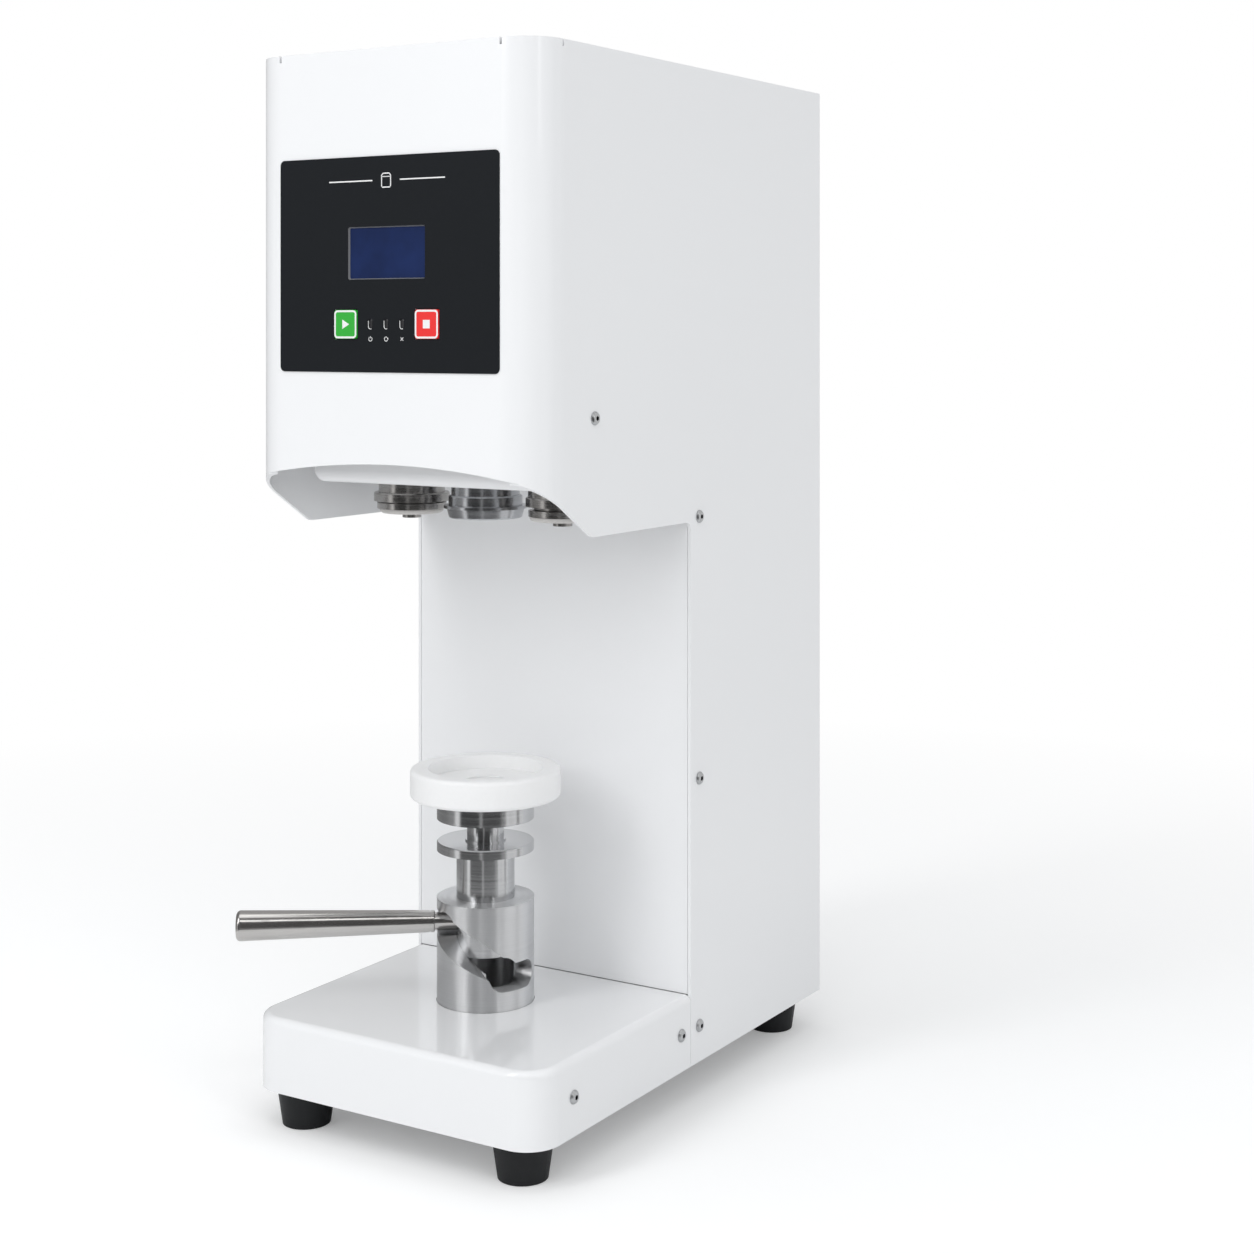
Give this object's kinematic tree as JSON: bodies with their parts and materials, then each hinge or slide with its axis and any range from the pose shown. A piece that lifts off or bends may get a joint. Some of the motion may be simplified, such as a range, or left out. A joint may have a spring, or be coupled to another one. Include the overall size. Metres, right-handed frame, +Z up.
{
  "type": "can seamer",
  "caption": "Tabletop can seamer with a motor-driven chuck, swinging seaming rollers, and a lever-worked tray lift in a slotted sleeve.",
  "frame": {"origin": "on the table, midway between the four feet, under the middle of the housing", "axes": "+Z up, -Y towards the user (control panel side), +X to the user's right"},
  "size_m": [0.2216, 0.3354, 0.61],
  "materials": {
    "white_paint": "gloss powder coat",
    "zinc_steel": "zinc-plated",
    "polished_steel": "polished stainless steel",
    "brushed_steel": "brushed stainless steel",
    "nylon": "white nylon",
    "rubber": "matt",
    "panel_film": "printed polyester film",
    "display_glass": "clear acrylic over a blue display",
    "green_key": "glossy",
    "red_key": "glossy",
    "lamp": "clear",
    "board": "circuit board",
    "black_plastic": "moulded",
    "motor_paint": "satin",
    "aluminium": "machined",
    "belt_rubber": "matt"
  },
  "bodies": {
    "housing": {"housing_shell": "white_paint", "top_cover": "white_paint", "column_plate": "white_paint", "base_cover": "white_paint", "rear_cover": "white_paint", "base_plate": "zinc_steel", "frame_side_left": "zinc_steel", "frame_side_right": "zinc_steel", "head_plate": "zinc_steel", "base_blocks": "zinc_steel", "head_pan": "white_paint", "control_panel": "panel_film", "display_window": "display_glass", "display_module": "board", "led_lenses": "lamp", "control_board": "board", "side_screws": "polished_steel", "rear_screws": "polished_steel", "rubber_feet": "rubber", "base_bolts": "zinc_steel", "lift_sleeve": "polished_steel", "spindle_housing": "aluminium", "spindle_bearings": "polished_steel", "drive_belt": "belt_rubber", "drive_motor": "motor_paint", "pivot_pins": "polished_steel", "cam_motor": "motor_paint", "power_inlet": "black_plastic", "switch_frame": "black_plastic", "fuse_holder": "black_plastic", "power_supply": "zinc_steel"},
    "platen": {"platen": "polished_steel", "platen_bearing": "polished_steel", "tray_screw": "polished_steel"},
    "shaft": {"lift_shaft": "polished_steel", "lift_handle": "brushed_steel", "lock_disc": "polished_steel", "lift_stud": "polished_steel"},
    "tray": {"can_tray": "nylon"},
    "chuck": {"spindle": "polished_steel", "seaming_chuck": "polished_steel", "driven_pulley": "aluminium"},
    "motor_rotor": {"motor_shaft": "polished_steel", "motor_pulley": "aluminium"},
    "cam": {"cam_disc": "zinc_steel", "cam_shaft": "polished_steel"},
    "left_arm": {"roller_arm_left": "zinc_steel", "cam_follower_left": "polished_steel", "roller_pin_left": "polished_steel", "roller_cap_left": "nylon"},
    "right_arm": {"roller_arm_right": "zinc_steel", "cam_follower_right": "polished_steel", "roller_pin_right": "polished_steel", "roller_cap_right": "nylon"},
    "left_roller": {"first_roller": "polished_steel"},
    "right_roller": {"second_roller": "polished_steel"},
    "start_key": {"start_button": "green_key"},
    "stop_key": {"stop_button": "red_key"},
    "rocker": {"switch_rocker": "black_plastic"}
  },
  "joints": [
    {"name": "lifter_slide", "type": "slide", "parent": "housing", "child": "platen", "axis": [0, 0, 1], "range_m": [-0.02671, 0]},
    {"name": "handle_swing", "type": "hinge", "parent": "platen", "child": "shaft", "pos_m": [0, -0.072, 0.1097], "axis": [0, 0, 1], "range_deg": [0, 118.3]},
    {"name": "tray_spin", "type": "hinge", "parent": "platen", "child": "tray", "pos_m": [0, -0.072, 0.19], "axis": [0, 0, 1], "continuous": true},
    {"name": "chuck_spin", "type": "hinge", "parent": "housing", "child": "chuck", "pos_m": [0, -0.072, 0.35], "axis": [0, 0, 1], "continuous": true},
    {"name": "motor_spin", "type": "hinge", "parent": "housing", "child": "motor_rotor", "pos_m": [0, 0.11, 0.4], "axis": [0, 0, 1], "continuous": true},
    {"name": "cam_swing", "type": "hinge", "parent": "housing", "child": "cam", "pos_m": [0, 0.03, 0.38], "axis": [0, 0, 1], "range_deg": [-80, 80]},
    {"name": "left_arm_swing", "type": "hinge", "parent": "housing", "child": "left_arm", "pos_m": [-0.029, -0.02, 0.39], "axis": [0, 0, 1], "range_deg": [-8.82, 8.82]},
    {"name": "right_arm_swing", "type": "hinge", "parent": "housing", "child": "right_arm", "pos_m": [0.029, -0.02, 0.39], "axis": [0, 0, 1], "range_deg": [-8.82, 8.82]},
    {"name": "left_roller_spin", "type": "hinge", "parent": "left_arm", "child": "left_roller", "pos_m": [-0.054, -0.072, 0.355], "axis": [0, 0, 1], "continuous": true},
    {"name": "right_roller_spin", "type": "hinge", "parent": "right_arm", "child": "right_roller", "pos_m": [0.054, -0.072, 0.355], "axis": [0, 0, 1], "continuous": true},
    {"name": "start_press", "type": "slide", "parent": "housing", "child": "start_key", "axis": [0, 1, 0], "range_m": [0, 0.0005], "stiffness_N_per_m": 800},
    {"name": "stop_press", "type": "slide", "parent": "housing", "child": "stop_key", "axis": [0, 1, 0], "range_m": [0, 0.0005], "stiffness_N_per_m": 800},
    {"name": "switch_tilt", "type": "hinge", "parent": "housing", "child": "rocker", "pos_m": [-0.045, 0.164, 0.112], "axis": [1, 0, 0], "range_deg": [-20, 0]}
  ],
  "couplings": [
    {"joint": "lifter_slide", "follows": "handle_swing", "m_per_rad": -0.012932},
    {"joint": "motor_spin", "follows": "chuck_spin", "ratio": 3},
    {"joint": "left_arm_swing", "follows": "cam_swing", "ratio": -0.11018},
    {"joint": "right_arm_swing", "follows": "cam_swing", "ratio": -0.11018}
  ]
}
